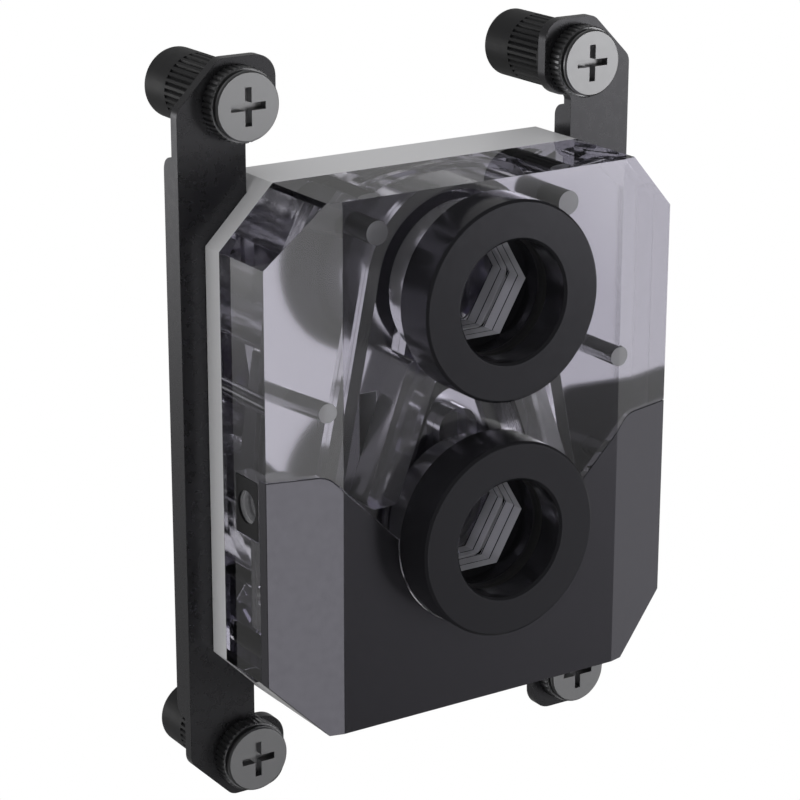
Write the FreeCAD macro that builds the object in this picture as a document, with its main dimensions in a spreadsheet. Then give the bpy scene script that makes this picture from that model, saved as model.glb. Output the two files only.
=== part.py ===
import FreeCAD, Part
import math
import os

import Sketcher

# CPU water block with a clear front layer on a metal rear layer, a metal half cover,
# two raised port collars and two side brackets with thumbscrews and stand-offs.
#
# Frame: X to the viewer's right, Y to the back (into the processor), Z up, millimetres.
# The origin is the middle of the cold plate's contact face, which is also the middle
# of the four-screw mounting pattern.

DIMENSIONS = {
    # mounting pattern
    "screw_spacing_x": 54.0,
    "screw_spacing_z": 90.0,
    # body
    "body_width": 64.0,
    "body_height": 72.0,
    "body_drop": 1.0,
    "corner_chamfer": 8.0,
    "panel_width": 44.0,
    "bevel_depth": 2.6,
    "front_layer": 13.6,
    "rear_layer": 9.4,
    # metal cover
    "cover_thickness": 1.8,
    "cover_gap": 0.1,
    "shoulder_drop": 0.9,
    "shoulder_half_width": 24.1,
    "shoulder_round": 3.0,
    "cover_ring_gap": 0.2,
    "peg_radius": 1.5,
    "peg_length": 3.0,
    "peg_clearance": 0.1,
    "side_peg_from_side": 5.0,
    "side_peg_z": 18.0,
    "foot_peg_x": 7.0,
    "foot_peg_from_end": 5.0,
    # ports
    "upper_port_z": 20.2,
    "lower_port_z": -12.2,
    "collar_radius": 13.4,
    "collar_height": 6.1,
    "collar_edge": 0.35,
    "tube_bore_radius": 8.1,
    "tube_depth": 8.8,
    "shank_radius": 11.0,
    "shank_length": 10.4,
    "shank_clearance": 0.1,
    "key_flats": 13.9,
    "key_groove_width": 0.5,
    "key_groove_depth": 0.5,
    "key_groove_from_stop": 3.9,
    "tube_seal_width": 2.0,
    "tube_seal_depth": 1.4,
    "tube_seal_proud": 0.15,
    "tube_seal_crown": 1.0,
    "tube_seal_from_rim": 4.2,
    "face_seal_width": 1.5,
    "face_seal_height": 1.1,
    "face_seal_inset": 0.3,
    "port_bore_radius": 7.7,
    # flow paths
    "leg_depth": 7.2,
    "leg_top_z": 11.8,
    "leg_bottom_z": -8.0,
    "leg_top_inner_x": 5.0,
    "leg_top_outer_x": 9.4,
    "leg_bottom_inner_x": 11.4,
    "leg_bottom_outer_x": 16.6,
    "leg_top_step": 2.5,
    "link_top_x": 6.9,
    "link_depth": 2.6,
    "inlet_channel_width": 6.0,
    "inlet_channel_top": 1.0,
    "inlet_channel_round": 2.7,
    "inlet_slot_width": 3.2,
    "chamber_width": 4.8,
    "chamber_height": 15.0,
    "chamber_depth": 2.0,
    "outlet_slot_x": 13.2,
    "outlet_slot_width": 2.6,
    "outlet_slot_height": 13.0,
    # seals between the layers
    "layer_seal_width": 1.8,
    "layer_seal_height": 1.2,
    "layer_seal_radius": 12.0,
    "layer_seal_hip_x": 18.2,
    "layer_seal_hip_z": -9.0,
    "layer_seal_foot_gap": 0.9,
    "inlet_seal_big_radius": 8.9,
    "inlet_seal_small_radius": 4.4,
    # cold plate and what lies on it
    "plate_side_margin": 0.8,
    "plate_end_margin": 1.5,
    "plate_thickness": 1.6,
    "plate_chamfer": 8.0,
    "boss_size": 40.0,
    "boss_height": 1.2,
    "boss_round": 3.0,
    "fin_field_x": 23.0,
    "fin_field_z": 22.0,
    "fin_height": 3.0,
    "fin_thickness": 0.4,
    "fin_pitch": 0.9,
    "jet_plate_thickness": 0.8,
    "jet_slot_width": 1.2,
    "insert_thickness": 1.2,
    "insert_slot_width": 2.4,
    "cooling_pocket_width": 31.2,
    "pocket_clearance": 0.2,
    "main_seal_width": 1.8,
    "main_seal_height": 1.2,
    "main_seal_margin": 1.2,
    "main_seal_round": 3.0,
    # screws through the cold plate
    "long_screw_x": 15.0,
    "long_screw_inset": 1.4,
    "long_screw_radius": 1.5,
    "long_screw_head": 2.9,
    "long_screw_length": 18.6,
    "long_hole_spare": 1.0,
    "short_screw_z": 7.2,
    "short_screw_radius": 1.2,
    "short_screw_head": 2.3,
    "short_screw_length": 18.1,
    "short_hole_spare": 3.9,
    "bracket_screw_from_side": 3.7,
    "bracket_screw_z": 18.0,
    "bracket_screw_length": 7.2,
    "screw_clearance": 0.1,
    "screw_key_flats": 2.0,
    "screw_key_depth": 1.0,
    # brackets
    "bracket_width": 9.9,
    "bracket_seat": 6.25,
    "bracket_front": 3.65,
    "bracket_thin": 1.6,
    "bracket_thick": 3.7,
    "bracket_lobe_inwards": 5.8,
    "bracket_lobe_up": 5.9,
    "bracket_lobe_down": 4.6,
    "bracket_lobe_round": 3.0,
    "bracket_lobe_low_round": 3.4,
    "bracket_waist_round": 1.0,
    "bracket_chamfer": 6.2,
    "bracket_corner_round": 2.0,
    "bracket_step_z": 38.6,
    "bracket_step_round": 1.8,
    "bracket_slot_clearance": 0.1,
    # thumbscrews
    "head_radius": 4.95,
    "head_face_radius": 4.57,
    "head_height": 3.05,
    "head_face_thickness": 0.5,
    "head_groove_radius": 4.15,
    "head_groove_width": 0.45,
    "head_edge": 0.2,
    "head_knurl_count": 40,
    "head_knurl_depth": 0.22,
    "cross_length": 5.0,
    "cross_width": 0.95,
    "cross_depth": 1.2,
    "stud_radius": 1.5,
    "stud_length": 8.0,
    "stud_clearance": 0.1,
    # stand-offs
    "standoff_radius": 4.75,
    "standoff_length": 13.85,
    "standoff_ring": 1.15,
    "rear_thread_radius": 2.1,
    "rear_thread_depth": 7.0,
    "standoff_knurl_length": 6.9,
    "standoff_knurl_count": 34,
    "standoff_knurl_depth": 0.28,
    "standoff_edge": 0.4,
    "washer_radius": 4.6,
    "washer_thickness": 0.7,
    # side socket
    "socket_from_panel": 4.8,
    "socket_width": 5.5,
    "socket_height": 8.0,
    "socket_length": 6.0,
    "socket_drop": 0.6,
    "socket_clearance": 0.05,
    "socket_bore_radius": 2.2,
    "socket_bore_depth": 5.0,
    "socket_ring_radius": 2.5,
    "socket_ring_width": 0.5,
    "socket_ring_count": 4,
}

OVERCUT = 1.0
FLUTE_SPARE = 0.1
FLUTE_SHARE = 0.8
EDGE_SPARE = 0.1
TO_BACK = FreeCAD.Rotation(FreeCAD.Vector(1, 0, 0), -90)
TO_RIGHT = FreeCAD.Rotation(FreeCAD.Vector(0, 0, 1), -90)

doc = FreeCAD.newDocument("cpu_water_block")
sheet = doc.addObject("Spreadsheet::Sheet", "dims")


class Size:
    """A length that carries its number and the sheet expression it comes from."""

    def __init__(self, value, text):
        self.value = value
        self.text = text

    def _join(self, sign, other, value):
        other = as_size(other)
        return Size(value(self.value, other.value), f"({self.text} {sign} {other.text})")

    def __add__(self, other):
        return self._join("+", other, lambda a, b: a + b)

    def __sub__(self, other):
        return self._join("-", other, lambda a, b: a - b)

    def __mul__(self, other):
        return self._join("*", other, lambda a, b: a * b)

    def __truediv__(self, other):
        return self._join("/", other, lambda a, b: a / b)

    def __radd__(self, other):
        return as_size(other) + self

    def __rsub__(self, other):
        return as_size(other) - self

    def __rmul__(self, other):
        return as_size(other) * self

    def __neg__(self):
        return as_size(-1) * self


def as_size(number):
    """A plain number is a length without a cell."""
    if isinstance(number, Size):
        return number
    return Size(float(number), f"{float(number)}")


def smaller(first, second):
    """The smaller of two lengths."""
    first = as_size(first)
    second = as_size(second)
    return Size(min(first.value, second.value), f"min({first.text}; {second.text})")


def fill_sheet():
    """One row for each driving dimension: its name, its number and the alias."""
    sizes = {}
    for row, (name, value) in enumerate(DIMENSIONS.items(), start=1):
        sheet.set(f"A{row}", name)
        sheet.set(f"B{row}", str(value))
        sheet.setAlias(f"B{row}", name)
        sizes[name] = Size(float(value), f"dims.{name}")
    doc.recompute()
    return sizes


D = fill_sheet()

# depths that follow from the layers, from the contact face towards the viewer
plate_back = -D["boss_height"]
rear_back = plate_back - D["plate_thickness"]
interface = rear_back - D["rear_layer"]
panel = interface - D["front_layer"]
bracket_face = interface + D["bracket_front"]
bracket_thin_back = bracket_face + D["bracket_thin"]
bracket_thick_back = bracket_face + D["bracket_thick"]
washer_back = bracket_thin_back + D["washer_thickness"]

body_half = D["body_width"] / 2
body_top = D["body_height"] / 2 - D["body_drop"]
body_bottom = -(D["body_height"] / 2 + D["body_drop"])
panel_half = D["panel_width"] / 2
plate_half = body_half - D["plate_side_margin"]
plate_top = body_top - D["plate_end_margin"]
plate_bottom = body_bottom + D["plate_end_margin"]
screw_x = D["screw_spacing_x"] / 2
screw_z = D["screw_spacing_z"] / 2

# the layer seal passes under the inlet seal, and the screws stand clear of it
seal_foot_z = D["lower_port_z"] - D["inlet_seal_big_radius"] - D["layer_seal_foot_gap"]
seal_foot_z = seal_foot_z - D["layer_seal_width"]
seal_outer_x = D["layer_seal_hip_x"] + D["layer_seal_width"]
seal_outer_z = D["layer_seal_width"] - seal_foot_z
short_screw_x = (seal_outer_x + body_half - D["socket_length"]) / 2
long_screw_z = (seal_outer_z + D["body_height"] / 2) / 2 - D["long_screw_inset"]
bracket_inner = body_half - D["bracket_seat"]
bracket_outer = bracket_inner + D["bracket_width"]
bracket_screw_x = body_half - D["bracket_screw_from_side"]


def bind(obj, prop, size):
    """Set a property of an object from the sheet."""
    obj.setExpression(prop, as_size(size).text)


def place(obj, x, y, z, rotation=FreeCAD.Rotation()):
    """Put an object at a place that the sheet drives."""
    corner = FreeCAD.Vector(as_size(x).value, as_size(y).value, as_size(z).value)
    obj.Placement = FreeCAD.Placement(corner, rotation)
    for axis, size in zip("xyz", (x, y, z)):
        bind(obj, f"Placement.Base.{axis}", size)


def origin_plane(body, role):
    """One of a body's own origin planes or axes."""
    return [part for part in body.Origin.OriginFeatures if part.Role == role][0]


def new_sketch(body, name, role, level):
    """A sketch on an origin plane of its body, moved along the plane's normal."""
    sketch = body.newObject("Sketcher::SketchObject", name)
    sketch.AttachmentSupport = [(origin_plane(body, role), "")]
    sketch.MapMode = "FlatFace"
    level = as_size(level)
    sketch.AttachmentOffset = FreeCAD.Placement(FreeCAD.Vector(0, 0, level.value), FreeCAD.Rotation())
    bind(sketch, "AttachmentOffset.Base.z", level)
    return sketch


def hold(sketch, axis, index, point, size):
    """Tie one coordinate of a sketch point to the sheet."""
    size = as_size(size)
    row = sketch.addConstraint(Sketcher.Constraint(f"Distance{axis}", -1, 1, index, point, size.value))
    sketch.setExpression(f"Constraints[{row}]", size.text)


def hold_radius(sketch, index, size):
    """Tie the radius of a circle or an arc to the sheet."""
    size = as_size(size)
    row = sketch.addConstraint(Sketcher.Constraint("Radius", index, size.value))
    sketch.setExpression(f"Constraints[{row}]", size.text)


def draw_loop(sketch, points):
    """A closed outline of straight lines through points that the sheet drives."""
    first = sketch.GeometryCount
    spots = [FreeCAD.Vector(as_size(u).value, as_size(v).value, 0) for u, v in points]
    count = len(spots)
    for number in range(count):
        sketch.addGeometry(Part.LineSegment(spots[number], spots[(number + 1) % count]))
    for number in range(count):
        joined = first + (number + 1) % count
        sketch.addConstraint(Sketcher.Constraint("Coincident", first + number, 2, joined, 1))
    for number, (u, v) in enumerate(points):
        hold(sketch, "X", first + number, 1, u)
        hold(sketch, "Y", first + number, 1, v)


def draw_circle(sketch, u, v, radius):
    """A circle whose centre and radius the sheet drives."""
    middle = FreeCAD.Vector(as_size(u).value, as_size(v).value, 0)
    index = sketch.addGeometry(Part.Circle(middle, FreeCAD.Vector(0, 0, 1), as_size(radius).value))
    hold(sketch, "X", index, 3, u)
    hold(sketch, "Y", index, 3, v)
    hold_radius(sketch, index, radius)


def new_body(name):
    """An empty body."""
    return doc.addObject("PartDesign::Body", name)


def pad(body, sketch, length, name="pad"):
    """Material along the sketch's normal: towards the viewer from the XZ plane."""
    feature = body.newObject("PartDesign::Pad", name)
    feature.Profile = sketch
    feature.Length = as_size(length).value
    bind(feature, "Length", length)
    sketch.Visibility = False
    return feature


def pocket(body, sketch, depth, towards_front, name="pocket"):
    """A cut from a sketch on the XZ plane, towards the viewer or the back."""
    feature = body.newObject("PartDesign::Pocket", name)
    feature.Profile = sketch
    feature.Length = as_size(depth).value
    feature.Reversed = towards_front
    bind(feature, "Length", depth)
    return feature


def revolve(body, sketch, name="turned"):
    """A turned form about the sketch's vertical axis."""
    feature = body.newObject("PartDesign::Revolution", name)
    feature.Profile = sketch
    feature.ReferenceAxis = (sketch, ["V_Axis"])
    feature.Angle = 360.0
    return feature


def plate(name, points, front, back):
    """A flat piece: an outline seen from the front, between two depths."""
    body = new_body(name)
    sketch = new_sketch(body, f"{name}_outline", "XZ_Plane", -as_size(back))
    draw_loop(sketch, points)
    pad(body, sketch, as_size(back) - front)
    return body


def turned(name, profile):
    """A piece turned about its own Y axis: the profile holds radius and depth."""
    body = new_body(name)
    sketch = new_sketch(body, f"{name}_profile", "XY_Plane", 0)
    draw_loop(sketch, profile)
    revolve(body, sketch)
    return body


def rod(name, x, y, z, radius, length):
    """A round bar or hole that runs from one depth to the back."""
    cylinder = doc.addObject("Part::Cylinder", name)
    bind(cylinder, "Radius", radius)
    bind(cylinder, "Height", length)
    place(cylinder, x, y, z, TO_BACK)
    return cylinder


def brick(name, x, y, z, width, depth, height):
    """A box by its lowest corner."""
    box = doc.addObject("Part::Box", name)
    for prop, size in (("Length", width), ("Width", depth), ("Height", height)):
        bind(box, prop, size)
    place(box, x, y, z)
    return box


def combine(kind, name, shapes):
    """A fusion, a common part or a group of several objects."""
    joined = doc.addObject(kind, name)
    if kind == "Part::Compound":
        joined.Links = shapes
    else:
        joined.Shapes = shapes
    return joined


def cut(name, base, tools):
    """A piece with several spaces cut out of it."""
    result = doc.addObject("Part::Cut", name)
    result.Base = base
    result.Tool = tools[0] if len(tools) == 1 else combine("Part::MultiFuse", f"{name}_spaces", tools)
    return result


def mirror(name, source, normal):
    """The same piece on the other side of the middle plane."""
    copy = doc.addObject("Part::Mirroring", name)
    copy.Source = source
    copy.Normal = FreeCAD.Vector(*normal)
    return copy


def four_ways(name, source):
    """The piece and its three mirror images about the pattern's middle."""
    left = mirror(f"{name}_left", source, (1, 0, 0))
    low = mirror(f"{name}_low", source, (0, 0, 1))
    low_left = mirror(f"{name}_low_left", left, (0, 0, 1))
    return [source, left, low, low_left]


def edges_where(shape, test):
    """Names of the edges whose middle point and direction pass a test."""
    names = []
    for number, edge in enumerate(shape.Edges, start=1):
        middle = edge.CenterOfMass
        along = edge.Vertexes[-1].Point.sub(edge.Vertexes[0].Point)
        if test(middle, along):
            names.append(f"Edge{number}")
    return names


def along_depth(along):
    """True for an edge that runs straight to the back."""
    return abs(along.y) > 1e-6 and abs(along.x) < 1e-6 and abs(along.z) < 1e-6


def round_edges(body, base, radius, test, name="rounding"):
    """Round the edges of a feature that pass a test."""
    doc.recompute()
    feature = body.newObject("PartDesign::Fillet", name)
    feature.Base = (base, edges_where(base.Shape, test))
    feature.Radius = as_size(radius).value
    bind(feature, "Radius", radius)
    return feature


def octagon(half_width, top, bottom, chamfer):
    """A rectangle with four equal corner chamfers, as x and z."""
    return [
        (-half_width, bottom + chamfer),
        (-half_width + chamfer, bottom),
        (half_width - chamfer, bottom),
        (half_width, bottom + chamfer),
        (half_width, top - chamfer),
        (half_width - chamfer, top),
        (-half_width + chamfer, top),
        (-half_width, top - chamfer),
    ]


def rectangle(half_width, top, bottom):
    """A rectangle about the middle, as x and z."""
    return [(-half_width, bottom), (half_width, bottom), (half_width, top), (-half_width, top)]


def front_slab(name, shift, back):
    """The bevelled front of the body, moved back by a shift, down to a depth."""
    body = new_body(name)
    sketch = new_sketch(body, f"{name}_section", "XY_Plane", body_bottom)
    face = [
        (-body_half, panel + D["bevel_depth"] + shift),
        (-panel_half, panel + shift),
        (panel_half, panel + shift),
        (body_half, panel + D["bevel_depth"] + shift),
    ]
    if back is None:
        thickness = D["cover_thickness"]
        rear = [(u, v + thickness) for u, v in reversed(face)]
    else:
        rear = [(body_half, back), (-body_half, back)]
    draw_loop(sketch, face + rear)
    pad(body, sketch, D["body_height"])
    return body


def cover_region(name, grow):
    """The lower part of the front: below the shoulders and outside the lower port."""
    region = plate(
        name,
        [
            (-body_half + D["corner_chamfer"], body_bottom),
            (body_half - D["corner_chamfer"], body_bottom),
            (body_half, body_bottom + D["corner_chamfer"]),
            (body_half, grow - D["shoulder_drop"]),
            (D["shoulder_half_width"], grow - D["shoulder_drop"]),
            (0, grow - D["shoulder_drop"] - D["shoulder_half_width"]),
            (-D["shoulder_half_width"], grow - D["shoulder_drop"]),
            (-body_half, grow - D["shoulder_drop"]),
            (-body_half, body_bottom + D["corner_chamfer"]),
        ],
        panel - OVERCUT,
        interface,
    )
    shoulder = D["shoulder_half_width"].value
    round_edges(
        region,
        region.Tip,
        D["shoulder_round"],
        lambda middle, along: along_depth(along) and abs(abs(middle.x) - shoulder) < 1e-3,
    )
    ring_radius = D["collar_radius"] + D["cover_ring_gap"] - grow
    ring = rod(f"{name}_ring", 0, panel - OVERCUT, D["lower_port_z"], ring_radius, D["front_layer"] + OVERCUT)
    return cut(f"{name}_notched", region, [ring])


def peg_spots():
    """Where the cover's pegs stand, right side first."""
    spots = []
    for side in (1, -1):
        spots.append((side * (body_half - D["side_peg_from_side"]), -D["side_peg_z"]))
        spots.append((side * D["foot_peg_x"], body_bottom + D["foot_peg_from_end"]))
    return spots


SIDE_PEGS = (1, 3)


def build_cover():
    """The metal cover: one folded plate, flush with the body, with pegs on its back."""
    slab = front_slab("cover_slab", 0, None)
    region = cover_region("cover_outline", 0)
    sheet_part = combine("Part::MultiCommon", "cover_sheet", [slab, region])
    floor = panel + D["cover_thickness"] / 2
    pegs = []
    for number, (x, z) in enumerate(peg_spots(), start=1):
        length = D["cover_thickness"] / 2 + D["peg_length"]
        if number in SIDE_PEGS:
            length = length + D["bevel_depth"]
        pegs.append(rod(f"cover_peg_{number}", x, floor, z, D["peg_radius"], length))
    return combine("Part::MultiFuse", "front_cover", [sheet_part] + trim_pegs(pegs))


def trim_pegs(pegs):
    """Keep of each peg only what lies behind the cover's outer face."""
    slab = front_slab("peg_space", D["cover_thickness"] / 2, interface)
    return [combine("Part::MultiCommon", f"{peg.Name}_trimmed", [peg, slab]) for peg in pegs]


def peg_holes():
    """Blind holes for the cover's pegs in the front layer."""
    holes = []
    for number, (x, z) in enumerate(peg_spots(), start=1):
        length = D["cover_thickness"] + D["peg_length"] + D["peg_clearance"]
        if number in SIDE_PEGS:
            length = length + D["bevel_depth"]
        holes.append(rod(f"peg_hole_{number}", x, panel, z, D["peg_radius"] + D["peg_clearance"], length))
    return holes


def chain(sketch, first, count, tangent):
    """Join neighbouring lines and arcs end to start; the named joints run smoothly."""
    for number in range(count):
        kind = "Tangent" if number in tangent else "Coincident"
        following = first + (number + 1) % count
        sketch.addConstraint(Sketcher.Constraint(kind, first + number, 2, following, 1))


def draw_arc(sketch, height, radius, start, end):
    """An arc centred on the vertical axis."""
    middle = FreeCAD.Vector(0, height.value, 0)
    circle = Part.Circle(middle, FreeCAD.Vector(0, 0, 1), radius.value)
    index = sketch.addGeometry(Part.ArcOfCircle(circle, start, end))
    sketch.addConstraint(Sketcher.Constraint("PointOnObject", index, 3, -2))
    hold(sketch, "Y", index, 3, height)
    hold_radius(sketch, index, radius)
    return middle


def polar(middle, radius, angle):
    """A point on a circle."""
    return middle + FreeCAD.Vector(math.cos(angle), math.sin(angle), 0) * radius.value


def keyhole_loop(sketch, grow):
    """Round the upper port, then spreading to the lower half of the body."""
    first = sketch.GeometryCount
    radius = D["layer_seal_radius"] + grow
    hip_x = D["layer_seal_hip_x"] + grow
    hip_z = D["layer_seal_hip_z"]
    foot_z = seal_foot_z - grow
    reach = hip_z.value - D["upper_port_z"].value
    touch = math.atan2(reach, hip_x.value) + math.acos(radius.value / math.hypot(hip_x.value, reach))
    middle = draw_arc(sketch, D["upper_port_z"], radius, touch, math.pi - touch)
    spots = [
        polar(middle, radius, math.pi - touch),
        FreeCAD.Vector(-hip_x.value, hip_z.value, 0),
        FreeCAD.Vector(-hip_x.value, foot_z.value, 0),
        FreeCAD.Vector(hip_x.value, foot_z.value, 0),
        FreeCAD.Vector(hip_x.value, hip_z.value, 0),
        polar(middle, radius, touch),
    ]
    for begin, end in zip(spots, spots[1:]):
        sketch.addGeometry(Part.LineSegment(begin, end))
    chain(sketch, first, len(spots), (0, len(spots) - 1))
    for index, x, z in ((2, -hip_x, hip_z), (3, -hip_x, foot_z), (4, hip_x, foot_z), (5, hip_x, hip_z)):
        hold(sketch, "X", first + index, 1, x)
        hold(sketch, "Y", first + index, 1, z)


def drop_loop(sketch, grow):
    """Round the lower port, narrowing to the top of the inlet channel."""
    first = sketch.GeometryCount
    big = D["inlet_seal_big_radius"] + grow
    small = D["inlet_seal_small_radius"] + grow
    low = D["lower_port_z"]
    high = D["inlet_channel_top"]
    lean = math.asin((big.value - small.value) / (high.value - low.value))
    low_middle = draw_arc(sketch, low, big, math.pi - lean, 2 * math.pi + lean)
    high_middle = FreeCAD.Vector(0, high.value, 0)
    sketch.addGeometry(Part.LineSegment(polar(low_middle, big, lean), polar(high_middle, small, lean)))
    draw_arc(sketch, high, small, lean, math.pi - lean)
    far = math.pi - lean
    sketch.addGeometry(Part.LineSegment(polar(high_middle, small, far), polar(low_middle, big, far)))
    chain(sketch, first, 4, (0, 1, 2, 3))


def seal_ring(name, loop):
    """A moulded seal of constant width along a closed line, in the front layer's back face."""
    body = new_body(name)
    sketch = new_sketch(body, f"{name}_outline", "XZ_Plane", -interface)
    loop(sketch, D["layer_seal_width"])
    loop(sketch, as_size(0))
    pad(body, sketch, D["layer_seal_height"])
    return body


def build_collar(name, port_z):
    """A port collar: flange, threaded shank, tube bore with a seal groove, key hexagon."""
    rim = -D["collar_height"]
    bore = D["tube_bore_radius"]
    stop = rim + D["collar_height"] + D["tube_depth"] - D["collar_height"]
    groove_front = rim + D["tube_seal_from_rim"]
    groove_back = groove_front + D["tube_seal_width"]
    groove_radius = bore + D["tube_seal_depth"]
    outer = D["collar_radius"]
    edge = D["collar_edge"]
    face_seal_out = outer - D["face_seal_inset"] - D["collar_edge"]
    face_seal_in = face_seal_out - D["face_seal_width"]
    body = turned(
        f"{name}_turned",
        [
            (bore, rim + edge),
            (bore + edge, rim),
            (outer - edge, rim),
            (outer, rim + edge),
            (outer, 0),
            (face_seal_out, 0),
            (face_seal_out, -D["face_seal_height"]),
            (face_seal_in, -D["face_seal_height"]),
            (face_seal_in, 0),
            (D["shank_radius"], 0),
            (D["shank_radius"], D["shank_length"]),
            (D["key_flats"] / 2 - edge, D["shank_length"]),
            (D["key_flats"] / 2 - edge, stop),
            (bore, stop),
            (bore, groove_back),
            (groove_radius, groove_back),
            (groove_radius, groove_front),
            (bore, groove_front),
        ],
    )
    key = doc.addObject("Part::Prism", f"{name}_key")
    key.Polygon = 6
    bind(key, "Circumradius", D["key_flats"] / math.sqrt(3))
    bind(key, "Height", D["shank_length"] - stop + 2 * OVERCUT)
    place(key, 0, stop - OVERCUT, 0, TO_BACK)
    ring_front = stop + D["key_groove_from_stop"]
    ring = rod(
        f"{name}_key_ring",
        0,
        ring_front,
        0,
        D["key_flats"] / math.sqrt(3) + D["key_groove_depth"],
        D["key_groove_width"],
    )
    collar = cut(name, body, [key, ring])
    place(collar, 0, panel, port_z)
    return collar


def build_collar_seals(name, port_z):
    """The two seals of a collar: the tube seal in its groove, the face seal under the flange."""
    rim = panel - D["collar_height"]
    bore = D["tube_bore_radius"]
    width = D["tube_seal_width"]
    slope = (width - D["tube_seal_crown"]) / 2
    tube_seal = turned(
        f"{name}_tube_seal",
        [
            (bore - D["tube_seal_proud"], slope),
            (bore, 0),
            (bore + D["tube_seal_depth"], 0),
            (bore + D["tube_seal_depth"], width),
            (bore, width),
            (bore - D["tube_seal_proud"], width - slope),
        ],
    )
    place(tube_seal, 0, rim + D["tube_seal_from_rim"], port_z)
    outer = D["collar_radius"] - D["face_seal_inset"] - D["collar_edge"]
    face_seal = turned(
        f"{name}_face_seal",
        [
            (outer - D["face_seal_width"], 0),
            (outer, 0),
            (outer, D["face_seal_height"]),
            (outer - D["face_seal_width"], D["face_seal_height"]),
        ],
    )
    place(face_seal, 0, panel - D["face_seal_height"], port_z)
    return tube_seal, face_seal


def port_spaces(name, port_z):
    """The threaded seat of a collar and the bore behind it."""
    seat = rod(
        f"{name}_seat",
        0,
        panel - OVERCUT,
        port_z,
        D["shank_radius"] + D["shank_clearance"],
        D["shank_length"] + D["shank_clearance"] + OVERCUT,
    )
    bore = rod(f"{name}_bore", 0, panel, port_z, D["port_bore_radius"], D["front_layer"] + OVERCUT)
    return [seat, bore]


def outlet_legs():
    """The two channels that spread from the upper port to the ends of the cooling fins."""
    tools = []
    for name, side in (("right_leg", 1), ("left_leg", -1)):
        leg = plate(
            name,
            [
                (side * D["leg_top_inner_x"], D["leg_top_z"] - D["leg_top_step"]),
                (side * D["leg_bottom_inner_x"], D["leg_bottom_z"]),
                (side * D["leg_bottom_outer_x"], D["leg_bottom_z"]),
                (side * D["leg_top_outer_x"], D["leg_top_z"]),
            ],
            interface - D["leg_depth"],
            interface,
        )
        rounding = D["outlet_slot_width"] / 2
        round_edges(leg, leg.Tip, rounding, lambda middle, along: along_depth(along))
        tools.append(leg)
        link = plate(
            f"{name}_link",
            [
                (0, D["upper_port_z"]),
                (side * D["leg_top_inner_x"], D["leg_top_z"] - 2 * D["leg_top_step"]),
                (side * D["leg_top_outer_x"], D["leg_top_z"] - 2 * D["leg_top_step"]),
                (side * D["link_top_x"], D["upper_port_z"]),
            ],
            interface - D["link_depth"],
            interface,
        )
        tools.append(link)
    return tools


def inlet_channel():
    """The channel from the lower port up to the slot over the fins."""
    half = D["inlet_channel_width"] / 2
    channel = plate(
        "inlet_channel",
        rectangle(half, D["inlet_channel_top"] + half / 2, D["lower_port_z"]),
        interface - D["link_depth"],
        interface,
    )
    above = D["lower_port_z"].value + OVERCUT
    rounding = D["inlet_channel_round"]
    round_edges(channel, channel.Tip, rounding, lambda middle, along: along_depth(along) and middle.z > above)
    return channel


def screw_holes(name, x, z, radius, front, back, spots):
    """One round hole for each place of a screw pattern."""
    holes = []
    for number, (side, level) in enumerate(spots, start=1):
        holes.append(rod(f"{name}_{number}", side * x, front, level * z, radius, as_size(back) - front))
    return holes


CORNERS = ((1, 1), (-1, 1), (1, -1), (-1, -1))


def build_front_body(layer_seal, inlet_seal):
    """The clear front layer of the body, with seats, channels and blind screw holes."""
    bevelled = front_slab("front_block", 0, interface)
    corners = octagon(body_half, body_top, body_bottom, D["corner_chamfer"])
    outline = plate("front_outline", corners, panel - OVERCUT, interface)
    blank = combine("Part::MultiCommon", "front_blank", [bevelled, outline])
    cover_slab = front_slab("cover_space_slab", 0, None)
    recess_outline = cover_region("recess_outline", D["cover_gap"])
    recess = combine("Part::MultiCommon", "cover_recess", [cover_slab, recess_outline])
    spaces = [recess, layer_seal, inlet_seal, inlet_channel()]
    spaces += peg_holes() + outlet_legs()
    spaces += port_spaces("upper_port", D["upper_port_z"]) + port_spaces("lower_port", D["lower_port_z"])
    long_end = plate_back - D["long_screw_length"] - D["long_hole_spare"]
    short_end = plate_back - D["short_screw_length"] - D["short_hole_spare"]
    long_radius = D["long_screw_radius"] + D["screw_clearance"]
    short_radius = D["short_screw_radius"] + D["screw_clearance"]
    spaces += screw_holes(
        "front_long_hole", D["long_screw_x"], long_screw_z, long_radius, long_end, interface, CORNERS
    )
    spaces += screw_holes(
        "front_short_hole", short_screw_x, D["short_screw_z"], short_radius, short_end, interface, CORNERS
    )
    spaces.append(socket_block("socket_pocket", D["socket_clearance"]))
    return cut("front_body", blank, spaces)


def socket_block(name, clearance):
    """The block of the side socket, flush with the left side of the body."""
    y = panel + D["socket_from_panel"] - clearance
    z = -D["shoulder_drop"] - D["socket_drop"] - D["socket_height"] - clearance
    spare = OVERCUT if clearance.value > 0 else 0
    return brick(
        name,
        -body_half - spare,
        y,
        z,
        D["socket_length"] + clearance + spare,
        D["socket_width"] + 2 * clearance,
        D["socket_height"] + 2 * clearance,
    )


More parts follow.
